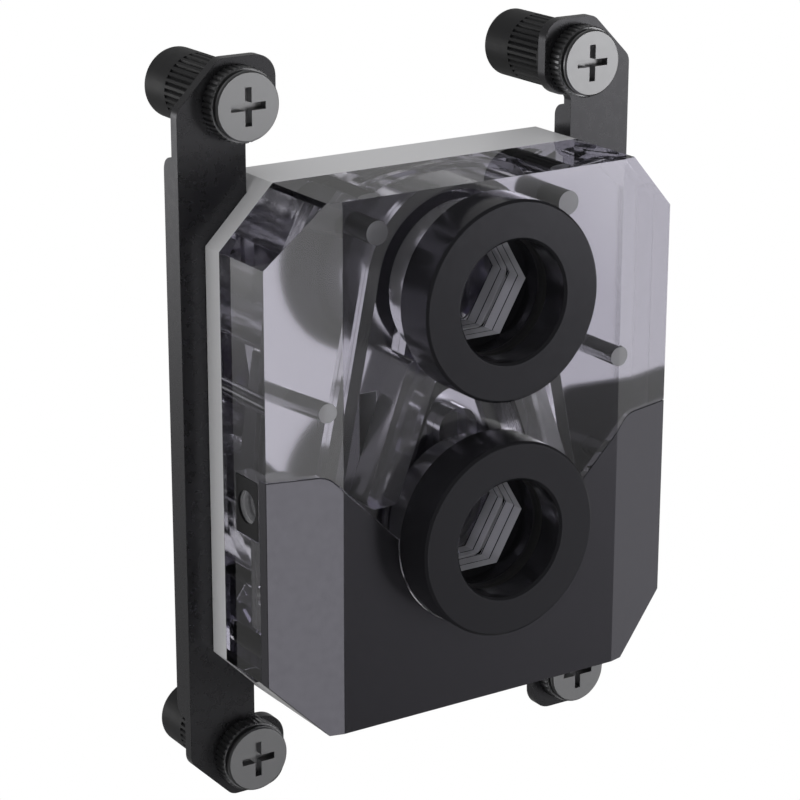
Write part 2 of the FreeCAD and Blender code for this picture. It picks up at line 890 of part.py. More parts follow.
def build_side_socket():
    """A block in the left side of the body with a ringed socket bore."""
    block = socket_block("socket_block", as_size(0))
    depth = D["socket_bore_depth"]
    pitch = depth / D["socket_ring_count"]
    profile = [(0, -OVERCUT), (D["socket_bore_radius"], -OVERCUT)]
    for number in range(int(D["socket_ring_count"].value)):
        middle = pitch * (number + 0.5)
        start = middle - D["socket_ring_width"] / 2
        end = middle + D["socket_ring_width"] / 2
        profile.append((D["socket_bore_radius"], start))
        profile.append((D["socket_ring_radius"], start))
        profile.append((D["socket_ring_radius"], end))
        profile.append((D["socket_bore_radius"], end))
    profile += [(D["socket_bore_radius"], depth), (0, depth)]
    bore = turned("socket_bore", profile)
    y = panel + D["socket_from_panel"] + D["socket_width"] / 2
    z = -D["shoulder_drop"] - D["socket_drop"] - D["socket_height"] / 2
    place(bore, -body_half, y, z, TO_RIGHT)
    return cut("side_socket", block, [bore])


def build_rear_body():
    """The metal rear layer of the body: bracket slots, flow slots and the cooling pocket."""
    blank = plate(
        "rear_blank", octagon(body_half, body_top, body_bottom, D["corner_chamfer"]), interface, rear_back
    )
    gap = D["bracket_slot_clearance"]
    slot_floor = bracket_inner - gap
    spaces = []
    for name, side_x in (("right_slot", slot_floor), ("left_slot", -body_half - OVERCUT)):
        spaces.append(
            brick(
                name,
                side_x,
                bracket_face - gap,
                body_bottom - OVERCUT,
                body_half + OVERCUT - slot_floor,
                D["bracket_thick"] + 2 * gap,
                D["body_height"] + 2 * OVERCUT,
            )
        )
    spaces += cooling_spaces()
    long_radius = D["long_screw_radius"] + D["screw_clearance"]
    short_radius = D["short_screw_radius"] + D["screw_clearance"]
    for name, x, z, radius, front in (
        ("rear_long_hole", D["long_screw_x"], long_screw_z, long_radius, interface),
        ("rear_short_hole", short_screw_x, D["short_screw_z"], short_radius, interface),
        ("rear_bracket_hole", bracket_screw_x, D["bracket_screw_z"], short_radius, bracket_face),
    ):
        spaces += screw_holes(name, x, z, radius, front, rear_back, CORNERS)
    return cut("rear_body", blank, spaces)


def insert_front():
    """Depth of the front of the stack that lies on the fins."""
    return rear_back - D["fin_height"] - D["jet_plate_thickness"] - D["insert_thickness"]


def cooling_spaces():
    """The pocket over the fins, the inlet chamber and the slots to the front layer."""
    floor = insert_front()
    pocket_half_z = D["fin_field_z"] / 2 + D["pocket_clearance"]
    pocket_half_x = D["cooling_pocket_width"] / 2
    chamber_front = floor - D["chamber_depth"]
    tools = [
        brick(
            "cooling_pocket",
            -pocket_half_x,
            floor,
            -pocket_half_z,
            2 * pocket_half_x,
            rear_back - floor,
            2 * pocket_half_z,
        ),
        brick(
            "inlet_chamber",
            -D["chamber_width"] / 2,
            chamber_front,
            -D["chamber_height"] / 2,
            D["chamber_width"],
            D["chamber_depth"],
            D["chamber_height"],
        ),
        brick(
            "inlet_slot",
            -D["inlet_slot_width"] / 2,
            interface,
            -D["chamber_height"] / 2,
            D["inlet_slot_width"],
            chamber_front - interface,
            D["chamber_height"] / 2 + D["inlet_channel_top"],
        ),
    ]
    for name, side in (("right_outlet_slot", 1), ("left_outlet_slot", -1)):
        middle = side * D["outlet_slot_x"]
        tools.append(
            brick(
                name,
                middle - D["outlet_slot_width"] / 2,
                interface,
                -D["outlet_slot_height"] / 2,
                D["outlet_slot_width"],
                floor - interface,
                D["outlet_slot_height"],
            )
        )
    tools.append(main_seal_blank())
    return tools


def main_seal_blank():
    """The seal ring between the cold plate and the rear layer; its groove has the same form."""
    inner_x = D["cooling_pocket_width"] / 2 + D["main_seal_margin"]
    inner_z = D["fin_field_z"] / 2 + D["pocket_clearance"] + D["main_seal_margin"]
    body = new_body("main_seal")
    sketch = new_sketch(body, "main_seal_outline", "XZ_Plane", -rear_back)
    outer_x = inner_x + D["main_seal_width"]
    outer_z = inner_z + D["main_seal_width"]
    draw_loop(sketch, rectangle(outer_x, outer_z, -outer_z))
    draw_loop(sketch, rectangle(inner_x, inner_z, -inner_z))
    pad(body, sketch, D["main_seal_height"])
    split_x = inner_x.value + D["main_seal_width"].value / 2
    outer_round = D["main_seal_round"] + D["main_seal_width"]
    first = round_edges(
        body,
        body.Tip,
        outer_round,
        lambda middle, along: along_depth(along) and abs(middle.x) > split_x,
        "outer",
    )
    round_edges(
        body,
        first,
        D["main_seal_round"],
        lambda middle, along: along_depth(along) and abs(abs(middle.x) - inner_x.value) < 1e-3,
        "inner",
    )
    return body


def flat_insert(name, thickness, front, slot_width):
    """A flat piece over the fins with one slot in its middle."""
    body = new_body(name)
    sketch = new_sketch(body, f"{name}_outline", "XZ_Plane", -(front + thickness))
    draw_loop(sketch, rectangle(D["fin_field_x"] / 2, D["fin_field_z"] / 2, -D["fin_field_z"] / 2))
    draw_loop(sketch, rectangle(slot_width / 2, D["chamber_height"] / 2, -D["chamber_height"] / 2))
    pad(body, sketch, thickness)
    return body


def build_cold_plate():
    """The cold plate: flange, raised contact face, fins and countersunk screw holes."""
    body = new_body("cold_plate_form")
    flange = new_sketch(body, "flange_outline", "XZ_Plane", -plate_back)
    draw_loop(flange, octagon(plate_half, plate_top, plate_bottom, D["plate_chamfer"]))
    pad(body, flange, D["plate_thickness"], "flange")
    boss = new_sketch(body, "boss_outline", "XZ_Plane", 0)
    draw_loop(boss, rectangle(D["boss_size"] / 2, D["boss_size"] / 2, -D["boss_size"] / 2))
    boss_pad = pad(body, boss, D["boss_height"], "boss")
    half = D["boss_size"].value / 2
    low = plate_back.value
    rounded = round_edges(
        body,
        boss_pad,
        D["boss_round"],
        lambda middle, along: along_depth(along) and middle.y > low and abs(abs(middle.x) - half) < 1e-3,
    )
    fin = new_sketch(body, "first_fin", "XZ_Plane", -rear_back)
    fin_low = -D["fin_field_z"] / 2
    fin_half = D["fin_field_x"] / 2
    draw_loop(
        fin,
        [
            (-fin_half, fin_low),
            (fin_half, fin_low),
            (fin_half, fin_low + D["fin_thickness"]),
            (-fin_half, fin_low + D["fin_thickness"]),
        ],
    )
    fin_pad = pad(body, fin, D["fin_height"], "fin")
    doc.recompute()
    row = body.newObject("PartDesign::LinearPattern", "fin_row")
    row.Originals = [fin_pad]
    row.Direction = (fin, ["V_Axis"])
    count = int((D["fin_field_z"].value - D["fin_thickness"].value) / D["fin_pitch"].value) + 1
    row.Length = D["fin_pitch"].value * (count - 1)
    bind(row, "Length", D["fin_pitch"] * (count - 1))
    row.Occurrences = count
    body.Tip = row
    spaces = []
    for name, x, z, radius, head in (
        ("plate_long", D["long_screw_x"], long_screw_z, D["long_screw_radius"], D["long_screw_head"]),
        ("plate_short", short_screw_x, D["short_screw_z"], D["short_screw_radius"], D["short_screw_head"]),
        ("plate_side", bracket_screw_x, D["bracket_screw_z"], D["short_screw_radius"], D["short_screw_head"]),
    ):
        spaces += countersinks(name, x, z, radius, head)
    return cut("cold_plate", body, spaces)


def countersinks(name, x, z, radius, head):
    """Through holes with a cone for a flush screw head."""
    tools = []
    wide = head + D["screw_clearance"]
    narrow = radius + D["screw_clearance"]
    for number, (side, level) in enumerate(CORNERS, start=1):
        tools.append(
            rod(
                f"{name}_hole_{number}",
                side * x,
                rear_back - OVERCUT,
                level * z,
                narrow,
                D["plate_thickness"] + 2 * OVERCUT,
            )
        )
        cone = doc.addObject("Part::Cone", f"{name}_sink_{number}")
        bind(cone, "Radius1", narrow)
        bind(cone, "Radius2", wide)
        bind(cone, "Height", wide - narrow)
        place(cone, side * x, plate_back - (wide - narrow), level * z, TO_BACK)
        tools.append(cone)
    return tools


def countersunk_screw(name, radius, head, length):
    """A flush screw with a hexagon key, its head's face at the local origin."""
    body = turned(
        f"{name}_turned",
        [
            (0, 0),
            (head, 0),
            (radius, radius - head),
            (radius, D["collar_edge"] - length),
            (radius - D["collar_edge"], -length),
            (0, -length),
        ],
    )
    key = doc.addObject("Part::Prism", f"{name}_key")
    key.Polygon = 6
    bind(key, "Circumradius", D["screw_key_flats"] * (radius / D["long_screw_radius"]) / math.sqrt(3))
    bind(key, "Height", D["screw_key_depth"] + OVERCUT)
    place(key, 0, -D["screw_key_depth"], 0, TO_BACK)
    return cut(f"{name}_one", body, [key])


def screw_set(name, radius, head, length, x, z):
    """Four flush screws in the cold plate as one group."""
    screw = countersunk_screw(name, radius, head, length)
    place(screw, x, plate_back, z)
    return combine("Part::Compound", name, four_ways(f"{name}_copy", screw))


def corner_test(xs, zs):
    """A test for edges that run to the back at one of some distances from both middle lines."""

    def passes(middle, along):
        fits_x = any(abs(middle.x - x.value) < 1e-3 for x in xs)
        fits_z = any(abs(abs(middle.z) - z.value) < 1e-3 for z in zs)
        return along_depth(along) and fits_x and fits_z

    return passes


def build_bracket():
    """The right bracket: a long strip with a lobe round each thumbscrew, thicker between them."""
    inner = bracket_inner
    outer = bracket_outer
    lobe_x = screw_x - D["bracket_lobe_inwards"]
    lobe_z = screw_z - D["bracket_lobe_down"]
    end = screw_z + D["bracket_lobe_up"]
    chamfer = D["bracket_chamfer"]
    foot_room = inner - lobe_x - D["bracket_waist_round"] - EDGE_SPARE
    body = new_body("right_bracket")
    strip = new_sketch(body, "strip_outline", "XZ_Plane", -bracket_thin_back)
    draw_loop(
        strip,
        [
            (lobe_x, -end),
            (outer - chamfer, -end),
            (outer, -end + chamfer),
            (outer, end - chamfer),
            (outer - chamfer, end),
            (lobe_x, end),
            (lobe_x, lobe_z),
            (inner, lobe_z),
            (inner, -lobe_z),
            (lobe_x, -lobe_z),
        ],
    )
    form = pad(body, strip, D["bracket_thin"], "strip")
    for name, radius, xs, zs in (
        ("lobe_ends", D["bracket_lobe_round"], (lobe_x,), (end,)),
        ("lobe_foots", smaller(D["bracket_lobe_low_round"], foot_room), (lobe_x,), (lobe_z,)),
        ("waists", D["bracket_waist_round"], (inner,), (lobe_z,)),
        ("corners", D["bracket_corner_round"], (outer, outer - chamfer), (end, end - chamfer)),
    ):
        form = round_edges(body, form, radius, corner_test(xs, zs), name)
    thick = new_sketch(body, "thick_outline", "XZ_Plane", -bracket_thick_back)
    step_z = D["bracket_step_z"]
    draw_loop(thick, [(inner, -step_z), (outer, -step_z), (outer, step_z), (inner, step_z)])
    thick_pad = pad(body, thick, D["bracket_thick"] - D["bracket_thin"], "thick")
    back = bracket_thick_back.value
    round_edges(
        body,
        thick_pad,
        D["bracket_step_round"],
        lambda middle, along: abs(middle.y - back) < 1e-3 and abs(along.x) > abs(along.z),
        "step",
    )
    holes = new_sketch(body, "hole_places", "XZ_Plane", -bracket_thick_back)
    for level in (1, -1):
        draw_circle(holes, screw_x, level * screw_z, D["stud_radius"] + D["stud_clearance"])
        draw_circle(
            holes,
            bracket_screw_x,
            level * D["bracket_screw_z"],
            D["short_screw_radius"] + D["screw_clearance"],
        )
    doc.recompute()
    pocket(body, holes, D["bracket_thick"] + OVERCUT, True, "holes")
    return body


def knurl(body, radius, depth, count, front, length, name):
    """Straight flutes round a turned piece, cut as one flute and its polar pattern."""
    sketch = new_sketch(body, f"{name}_section", "XZ_Plane", -(as_size(front) + length))
    half = radius * (math.pi / count.value * FLUTE_SHARE)
    draw_loop(sketch, [(0, radius - depth), (half, radius + FLUTE_SPARE), (-half, radius + FLUTE_SPARE)])
    doc.recompute()
    flute = pocket(body, sketch, length, True, f"{name}_flute")
    doc.recompute()
    pattern = body.newObject("PartDesign::PolarPattern", name)
    pattern.Originals = [flute]
    pattern.Axis = (origin_plane(body, "Y_Axis"), [""])
    pattern.Angle = 360.0
    pattern.Occurrences = int(count.value)
    body.Tip = pattern
    return pattern


def build_thumbscrew():
    """A thumbscrew: knurled head with a cross slot and a plain threaded stud."""
    radius = D["head_radius"]
    face = D["head_face_radius"]
    groove = D["head_groove_radius"]
    edge = D["head_edge"]
    face_back = D["head_face_thickness"] - D["head_height"]
    ring_front = face_back + D["head_groove_width"]
    body = turned(
        "thumbscrew_turned",
        [
            (0, -D["head_height"]),
            (face - edge, -D["head_height"]),
            (face, edge - D["head_height"]),
            (face, face_back),
            (groove, face_back),
            (groove, ring_front),
            (radius - edge, ring_front),
            (radius, ring_front + edge),
            (radius, 0),
            (D["stud_radius"], 0),
            (D["stud_radius"], D["stud_length"] - D["standoff_edge"]),
            (D["stud_radius"] - D["standoff_edge"], D["stud_length"]),
            (0, D["stud_length"]),
        ],
    )
    knurl(body, radius, D["head_knurl_depth"], D["head_knurl_count"], ring_front, -ring_front, "head_knurl")
    front = -D["head_height"] - OVERCUT
    long = D["cross_length"]
    wide = D["cross_width"]
    depth = D["cross_depth"] + OVERCUT
    slots = [
        brick("cross_slot_level", -long / 2, front, -wide / 2, long, depth, wide),
        brick("cross_slot_upright", -wide / 2, front, -long / 2, wide, depth, long),
    ]
    screw = cut("thumbscrew_top_right", body, slots)
    place(screw, screw_x, bracket_face, screw_z)
    return screw


def build_standoff():
    """A stand-off: knurled grip, smooth rear, a hole for the stud and a threaded one behind it."""
    radius = D["standoff_radius"]
    edge = D["standoff_edge"]
    length = D["standoff_length"]
    hole = D["stud_radius"] + D["stud_clearance"]
    thread = D["rear_thread_radius"]
    thread_front = length - D["rear_thread_depth"]
    body = turned(
        "standoff_top_right",
        [
            (hole, 0),
            (radius - edge, 0),
            (radius, edge),
            (radius, length - edge),
            (radius - edge, length),
            (thread, length),
            (thread, thread_front),
            (hole, thread_front),
        ],
    )
    ring = D["standoff_ring"]
    grip = D["standoff_knurl_length"]
    knurl(body, radius, D["standoff_knurl_depth"], D["standoff_knurl_count"], ring, grip, "grip_knurl")
    place(body, screw_x, washer_back, screw_z)
    return body


def build_washer():
    """A flat washer between a bracket and its stand-off."""
    body = turned(
        "standoff_washer",
        [
            (D["stud_radius"] + D["stud_clearance"], 0),
            (D["washer_radius"], 0),
            (D["washer_radius"], D["washer_thickness"]),
            (D["stud_radius"] + D["stud_clearance"], D["washer_thickness"]),
        ],
    )
    place(body, screw_x, bracket_thin_back, screw_z)
    return body


def corner_nodes(nodes, kind, source):
    """Name a corner piece and its mirror images by their corners."""
    left = mirror(f"{kind}_top_left", source, (1, 0, 0))
    nodes[f"{kind}_top_right"] = source
    nodes[f"{kind}_top_left"] = left
    nodes[f"{kind}_bottom_right"] = mirror(f"{kind}_bottom_right", source, (0, 0, 1))
    nodes[f"{kind}_bottom_left"] = mirror(f"{kind}_bottom_left", left, (0, 0, 1))


def build_all():
    """Every sub-part, by the name of its node."""
    nodes = {}
    layer_seal = seal_ring("layer_seal", keyhole_loop)
    inlet_seal = seal_ring("inlet_seal", drop_loop)
    nodes["layer_seal"] = layer_seal
    nodes["inlet_seal"] = inlet_seal
    nodes["front_body"] = build_front_body(layer_seal, inlet_seal)
    nodes["rear_body"] = build_rear_body()
    nodes["main_seal"] = doc.getObject("main_seal")
    nodes["front_cover"] = build_cover()
    nodes["side_socket"] = build_side_socket()
    for side, height in (("upper", D["upper_port_z"]), ("lower", D["lower_port_z"])):
        nodes[f"{side}_port_collar"] = build_collar(f"{side}_port_collar", height)
        tube_seal, face_seal = build_collar_seals(side, height)
        nodes[f"{side}_tube_seal"] = tube_seal
        nodes[f"{side}_face_seal"] = face_seal
    nodes["cold_plate"] = build_cold_plate()
    front = insert_front()
    nodes["flow_insert"] = flat_insert("flow_insert", D["insert_thickness"], front, D["insert_slot_width"])
    nodes["jet_plate"] = flat_insert(
        "jet_plate", D["jet_plate_thickness"], front + D["insert_thickness"], D["jet_slot_width"]
    )
    nodes["long_plate_screws"] = screw_set(
        "long_plate_screws",
        D["long_screw_radius"],
        D["long_screw_head"],
        D["long_screw_length"],
        D["long_screw_x"],
        long_screw_z,
    )
    nodes["short_plate_screws"] = screw_set(
        "short_plate_screws",
        D["short_screw_radius"],
        D["short_screw_head"],
        D["short_screw_length"],
        short_screw_x,
        D["short_screw_z"],
    )
    nodes["bracket_screws"] = screw_set(
        "bracket_screws",
        D["short_screw_radius"],
        D["short_screw_head"],
        D["bracket_screw_length"],
        bracket_screw_x,
        D["bracket_screw_z"],
    )
    nodes["right_bracket"] = build_bracket()
    nodes["left_bracket"] = mirror("left_bracket", nodes["right_bracket"], (1, 0, 0))
    corner_nodes(nodes, "thumbscrew", build_thumbscrew())
    corner_nodes(nodes, "standoff", build_standoff())
    washers = four_ways("washer", build_washer())
    nodes["standoff_washers"] = combine("Part::Compound", "standoff_washers", washers)
    return nodes


def check(nodes):
    """Stop if an object failed or a sub-part has no sound solid."""
    for obj in doc.Objects:
        if "Invalid" in obj.State or "Error" in obj.State:
            raise RuntimeError(f"{obj.Name} failed: {obj.State}")
    for name, node in nodes.items():
        shape = node.Shape
        if shape.isNull() or not shape.isValid() or not shape.Solids:
            raise RuntimeError(f"{name} has no sound solid")


def write_parts(nodes):
    """One STEP file for each sub-part."""
    os.makedirs("parts", exist_ok=True)
    for name, node in nodes.items():
        node.Label = name
        node.Shape.exportStep(f"parts/{name}.step")
        box = node.Shape.BoundBox
        spans = ((box.XMin, box.XMax), (box.YMin, box.YMax), (box.ZMin, box.ZMax))
        reach = ", ".join(f"{low:.2f}..{high:.2f}" for low, high in spans)
        print(f"{name}: {len(node.Shape.Solids)} solid(s), {node.Shape.Volume:.1f} mm3, {reach}")


parts = build_all()
doc.recompute()
check(parts)
write_parts(parts)
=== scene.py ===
import math

import bpy
from mathutils import Matrix, Vector


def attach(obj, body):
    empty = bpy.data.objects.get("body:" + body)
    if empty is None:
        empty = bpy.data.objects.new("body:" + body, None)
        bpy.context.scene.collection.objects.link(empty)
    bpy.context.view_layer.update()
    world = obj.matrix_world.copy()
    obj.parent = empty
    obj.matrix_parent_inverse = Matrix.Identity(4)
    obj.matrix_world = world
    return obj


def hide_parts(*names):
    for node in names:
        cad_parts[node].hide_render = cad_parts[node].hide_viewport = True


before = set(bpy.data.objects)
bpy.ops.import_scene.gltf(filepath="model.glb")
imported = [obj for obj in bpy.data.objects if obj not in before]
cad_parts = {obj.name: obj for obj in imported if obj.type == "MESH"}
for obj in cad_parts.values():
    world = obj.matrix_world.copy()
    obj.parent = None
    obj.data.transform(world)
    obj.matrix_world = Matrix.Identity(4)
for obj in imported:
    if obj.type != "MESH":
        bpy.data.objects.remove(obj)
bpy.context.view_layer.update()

MM = 0.001

# how a CAD node's copy is cleaned and how its edges are broken
MERGE_REACH = 0.001 * MM
FLAT_ANGLE = math.radians(0.2)
SMOOTH_ANGLE = math.radians(30.0)
EDGE_ANGLE = math.radians(32.0)
CREASE_ANGLE = math.radians(8.0)
EDGE_SEGMENTS = 2
LARGE_FACES_LEAD = 100
AIR_GAP = 0.02 * MM

# a face whose normal has this much of a direction looks that way
FACING = 0.9

# sizes of the front layer, by which its faces are told apart
BODY_HALF = 32.0 * MM
BODY_TOP = 35.0 * MM
BODY_BOTTOM = -37.0 * MM
CORNER_CUT = 8.0 * MM
PANEL_HALF = 22.0 * MM
BEVEL_DEPTH = 2.6 * MM
COVER_DEPTH = 1.9 * MM
SKIN = 0.35 * MM
SCREW_SPARE = 0.35 * MM
SCREW_END = 2.0 * MM

# where the bright faces begin in the collars' bores and in the side socket's bore
KEY_START = 9.0 * MM
KEY_REACH = 8.0 * MM
SOCKET_REACH = 2.6 * MM

# grain, milling marks and ring lines: a scale is the number of hills over a metre
GRAIN_SCALE = 900.0
GRAIN_SPREAD = 0.1
GRAIN_BUMP = 0.05
GRAIN_DETAIL = 3.0
GRAIN_ROUGHNESS = 0.35
MARKS_SCALE = 1500.0
MARKS_STRETCH = (1.0, 1.0, 0.06)
MARKS_DETAIL = 2.0
MARKS_BUMP = 0.35
RELIEF_DEPTH = 0.05 * MM
PLAIN_SPECULAR = 0.5
RING_PITCH = 1.95 * MM
RING_WIDTH = 0.1
RING_COLOUR = (0.02, 0.02, 0.02)

# clear acrylic
ACRYLIC_COLOUR = (0.985, 0.982, 0.995)
ACRYLIC_IOR = 1.49
ACRYLIC_SHADOW = (0.9, 0.9, 0.92)
SMOKE_COLOUR = (0.24, 0.21, 0.36)
SMOKE = 14.0
MILLED_ROUGHNESS = 0.14
MILLED_CLEARNESS = 0.9

# sockets of a Mix node for numbers and for colours
FACTOR = 0
NUMBERS = (2, 3)
NUMBER_RESULT = 0
COLOURS = (6, 7)
COLOUR_RESULT = 2

# direction towards the glow, half angle of its full strength, half angle where it ends, strength added
SOFT_BOXES = [
    ((0.02, -0.950, -0.310), 9.0, 19.0, 2.2),
    ((0.72, -0.620, -0.250), 8.0, 24.0, 0.42),
    ((0.69, -0.720, -0.050), 6.0, 14.0, 3.6),
    ((0.93, -0.280, -0.200), 10.0, 26.0, 0.8),
    ((-0.47, 0.870, -0.080), 4.0, 14.0, 2.1),
]
BACKDROP = ((0.0, 0.92, 0.39), 56.0, 80.0, 1.0)
BACKDROP_IN_METAL = 0.22
BACKDROP_IN_GLASS = 1.0
SURROUND = 0.08
PLAIN_LEVEL = 0.9
WHITE = 1.0

FLOOR_SIZE = 6.0
FLOOR_LEVEL = -75.0 * MM
FLOOR_COLOUR = (0.9, 0.9, 0.9)
FLOOR_ROUGHNESS = 0.9
FLOOR_IN_GLASS = 0.75

# the photograph's viewpoint: lens and sensor in millimetres, place in metres, and three directions
LENS = 121.69
SENSOR = 36.0
CAMERA_PLACE = Vector((-0.19395690, -0.30206919, 0.11490382))
CAMERA_RIGHT = Vector((0.8375273, -0.54639115, 0.00217615))
CAMERA_UP = Vector((0.16693114, 0.25966609, 0.95116114))
CAMERA_AHEAD = Vector((0.5202711, 0.79626016, -0.30868713))

CLEAR_BOUNCES = 32
GLOSSY_BOUNCES = 16


def activate(obj):
    """Only this object is selected and active."""
    bpy.ops.object.select_all(action="DESELECT")
    obj.select_set(True)
    bpy.context.view_layer.objects.active = obj


def open_mesh(piece):
    """Edit mode on this piece, with all of it selected."""
    activate(piece)
    bpy.ops.object.mode_set(mode="EDIT")
    bpy.ops.mesh.select_all(action="SELECT")


def close_mesh():
    """Back from edit mode."""
    bpy.ops.object.mode_set(mode="OBJECT")


def apply_modifier(piece, kind, name, **values):
    """Add a modifier with its values and apply it."""
    activate(piece)
    modifier = piece.modifiers.new(name, kind)
    for key, value in values.items():
        setattr(modifier, key, value)
    bpy.ops.object.modifier_apply(modifier=name)


def merged_copy(node, name):
    """A copy of a CAD node whose loose triangles are joined into clean faces."""
    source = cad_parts[node]
    piece = bpy.data.objects.new(name, source.data.copy())
    bpy.context.scene.collection.objects.link(piece)
    piece.data.materials.clear()
    open_mesh(piece)
    bpy.ops.mesh.customdata_custom_splitnormals_clear()
    bpy.ops.mesh.remove_doubles(threshold=MERGE_REACH)
    bpy.ops.mesh.dissolve_limited(angle_limit=FLAT_ANGLE)
    close_mesh()
    return piece


def soften(piece, width):
    """Broken edges, as machined parts have, with flat faces that shade flat."""
    activate(piece)
    bpy.ops.object.shade_smooth_by_angle(angle=SMOOTH_ANGLE)
    apply_modifier(
        piece,
        "BEVEL",
        "broken edges",
        width=width,
        segments=EDGE_SEGMENTS,
        limit_method="ANGLE",
        angle_limit=EDGE_ANGLE,
        use_clamp_overlap=True,
        miter_outer="MITER_ARC",
        harden_normals=True,
    )
    apply_modifier(
        piece,
        "WEIGHTED_NORMAL",
        "flat faces",
        mode="FACE_AREA",
        weight=LARGE_FACES_LEAD,
        keep_sharp=True,
    )


def split_faces(piece):
    """Faces with holes become convex ones, so that a bore stays open when its edges are broken."""
    open_mesh(piece)
    bpy.ops.mesh.vert_connect_concave()
    close_mesh()


def break_creases(piece, width):
    """A narrow strip along the shallow creases of the front, so that each facet shades flat."""
    mesh = piece.data
    sides = {}
    for face in mesh.polygons:
        for key in face.edge_keys:
            sides.setdefault(key, []).append(face.normal.copy())
    for group in (mesh.vertices, mesh.edges, mesh.polygons):
        for part in group:
            part.select = False
    for edge in mesh.edges:
        normals = sides[edge.key]
        if len(normals) == 2 and all(normal.y < -FACING for normal in normals):
            edge.select = normals[0].angle(normals[1]) > CREASE_ANGLE
    activate(piece)
    bpy.ops.object.mode_set(mode="EDIT")
    bpy.ops.mesh.select_mode(type="EDGE")
    bpy.ops.mesh.bevel(offset=width, segments=EDGE_SEGMENTS, affect="EDGES", clamp_overlap=True)
    bpy.ops.mesh.select_mode(type="VERT")
    close_mesh()


def draw_in(piece, distance):
    """Move every face inwards, so that a clear piece has a thin air gap round it."""
    open_mesh(piece)
    bpy.ops.transform.shrink_fatten(value=-distance, use_even_offset=True)
    close_mesh()


def seat(piece, node):
    """The finished piece stands for its CAD node and rides with it."""
    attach(piece, "root")
    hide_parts(node)


def feed(tree, socket, value):
    """Give a socket a number, or the output of another node."""
    if isinstance(value, bpy.types.NodeSocket):
        tree.links.new(value, socket)
    else:
        socket.default_value = value


def add_math(tree, operation, *values):
    """The result of a sum on numbers and outputs."""
    node = tree.nodes.new("ShaderNodeMath")
    node.operation = operation
    for socket, value in zip(node.inputs, values):
        feed(tree, socket, value)
    return node.outputs[0]


def add_choice(tree, factor, first, second):
    """The first of two values where the factor is 0, and the second where it is 1."""
    mix = tree.nodes.new("ShaderNodeMix")
    feed(tree, mix.inputs[FACTOR], factor)
    for index, value in zip(NUMBERS, (first, second)):
        feed(tree, mix.inputs[index], value)
    return mix.outputs[NUMBER_RESULT]


def add_noise(tree, vector, scale, detail):
    """A soft pattern of hills and hollows."""
    noise = tree.nodes.new("ShaderNodeTexNoise")
    noise.inputs["Detail"].default_value = detail
    tree.links.new(vector, noise.inputs["Vector"])
    tree.links.new(scale, noise.inputs["Scale"])
    return noise.outputs["Fac"]


def add_place(tree):
    """A point's place on its piece."""
    return tree.nodes.new("ShaderNodeTexCoord").outputs["Object"]


def new_group(name, inputs, outputs):
    """An empty shader group with named sockets for numbers."""
    group = bpy.data.node_groups.new(name, "ShaderNodeTree")
    for label, value in inputs.items():
        socket = group.interface.new_socket(label, in_out="INPUT", socket_type="NodeSocketFloat")
        socket.default_value = value
    for label in outputs:
        group.interface.new_socket(label, in_out="OUTPUT", socket_type="NodeSocketFloat")
    entry = group.nodes.new("NodeGroupInput")
    leave = group.nodes.new("NodeGroupOutput")
    return group, entry.outputs, leave.inputs


def build_grain_group():
    """Fine grain: a roughness and a height that change over the surface."""
    values = {"Scale": GRAIN_SCALE, "Roughness": GRAIN_ROUGHNESS, "Spread": GRAIN_SPREAD}
    group, entry, leave = new_group("fine grain", values, ("Roughness", "Height"))
    hills = add_noise(group, add_place(group), entry["Scale"], GRAIN_DETAIL)
    centred = add_math(group, "SUBTRACT", hills, 0.5)
    roughness = add_math(group, "MULTIPLY_ADD", centred, entry["Spread"], entry["Roughness"])
    group.links.new(roughness, leave["Roughness"])
    group.links.new(hills, leave["Height"])
    return group


def build_marks_group():
    """Milling marks: fine ridges that run up and down the walls of the channels."""
    group, entry, leave = new_group("milling marks", {"Scale": MARKS_SCALE}, ("Height",))
    stretch = group.nodes.new("ShaderNodeVectorMath")
    stretch.operation = "MULTIPLY"
    stretch.inputs[1].default_value = MARKS_STRETCH
    group.links.new(add_place(group), stretch.inputs[0])
    ridges = add_noise(group, stretch.outputs[0], entry["Scale"], MARKS_DETAIL)
    group.links.new(ridges, leave["Height"])
    return group


def build_rings_group():
    """Thin lines round a bore that runs to the back, at an even pitch."""
    values = {"Pitch": RING_PITCH, "Width": RING_WIDTH}
    group, entry, leave = new_group("ring lines", values, ("Line",))
    split = group.nodes.new("ShaderNodeSeparateXYZ")
    group.links.new(add_place(group), split.inputs[0])
    turns = add_math(group, "DIVIDE", split.outputs["Y"], entry["Pitch"])
    within = add_math(group, "FRACT", turns)
    line = add_math(group, "LESS_THAN", within, entry["Width"])
    group.links.new(line, leave["Line"])
    return group


GRAIN = build_grain_group()
MARKS = build_marks_group()
RINGS = build_rings_group()


def place_group(tree, group, **values):
    """One use of a shader group, with its own values."""
    node = tree.nodes.new("ShaderNodeGroup")
    node.node_tree = group
    for label, value in values.items():
        node.inputs[label].default_value = value
    return node.outputs


def new_material(name):
    """A material with its tree of nodes and its shader."""
    material = bpy.data.materials.new(name)
    material.use_nodes = True
    tree = material.node_tree
    return material, tree, tree.nodes["Principled BSDF"]


def add_relief(tree, shader, height, strength):
    """A pattern's height tilts the surface."""
    relief = tree.nodes.new("ShaderNodeBump")
    relief.inputs["Strength"].default_value = strength
    relief.inputs["Distance"].default_value = RELIEF_DEPTH
    tree.links.new(height, relief.inputs["Height"])
    tree.links.new(relief.outputs["Normal"], shader.inputs["Normal"])


